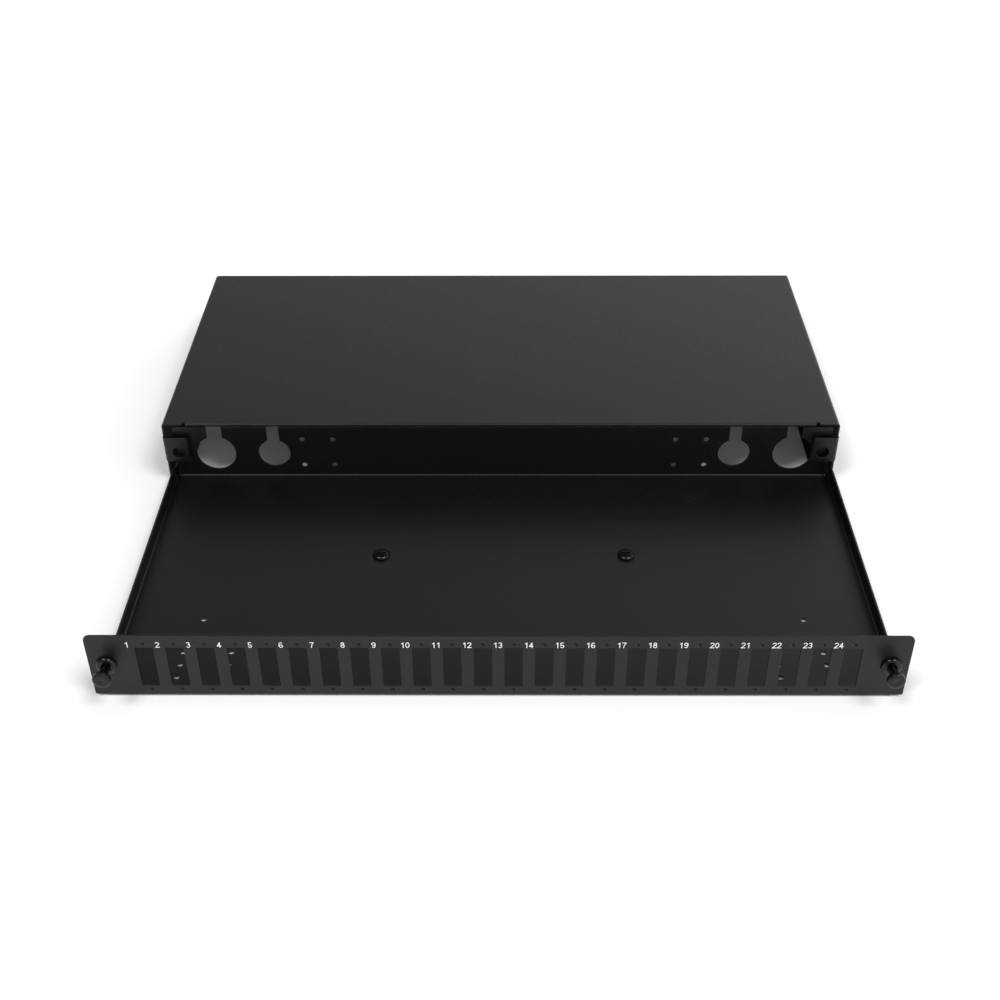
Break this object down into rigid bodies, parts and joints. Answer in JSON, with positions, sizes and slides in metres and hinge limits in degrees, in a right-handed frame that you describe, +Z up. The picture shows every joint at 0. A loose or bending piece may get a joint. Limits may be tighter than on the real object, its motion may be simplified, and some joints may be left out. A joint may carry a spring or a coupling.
{
  "type": "patch panel",
  "caption": "Rack-height sliding fibre patch panel: black folded steel housing with a pull-out drawer, a row of vertical adapter cut-outs and push-pull plunger latches.",
  "frame": {"origin": "centre of the bottom of the whole object's box, with the drawer pulled out", "axes": "+Z up, the front panel looks along -Y and the drawer closes along +Y, +X to the right seen from the front"},
  "size_m": [0.44, 0.423, 0.044],
  "materials": {
    "powder_coated_steel": "fine-textured satin black powder coat on folded sheet steel",
    "black_nylon": "moulded black nylon with a soft gloss",
    "black_zinc_screw": "black zinc-plated steel screw"
  },
  "bodies": {
    "housing": {"housing_shell": "powder_coated_steel"},
    "drawer": {"drawer_tray": "powder_coated_steel", "front_panel": "powder_coated_steel", "floor_screw_left": "black_zinc_screw", "floor_screw_right": "black_zinc_screw", "latch_grommet_left": "black_nylon", "latch_grommet_right": "black_nylon"},
    "plunger_left": {"latch_plunger_left": "black_nylon"},
    "plunger_right": {"latch_plunger_right": "black_nylon"}
  },
  "joints": [
    {"name": "drawer_slide", "type": "slide", "parent": "housing", "child": "drawer", "axis": [0, 1, 0], "range_m": [-0.0024, 0.1985]},
    {"name": "plunger_left_slide", "type": "slide", "parent": "drawer", "child": "plunger_left", "axis": [0, 1, 0], "range_m": [0, 0.007]},
    {"name": "plunger_right_slide", "type": "slide", "parent": "drawer", "child": "plunger_right", "axis": [0, 1, 0], "range_m": [0, 0.007]}
  ]
}
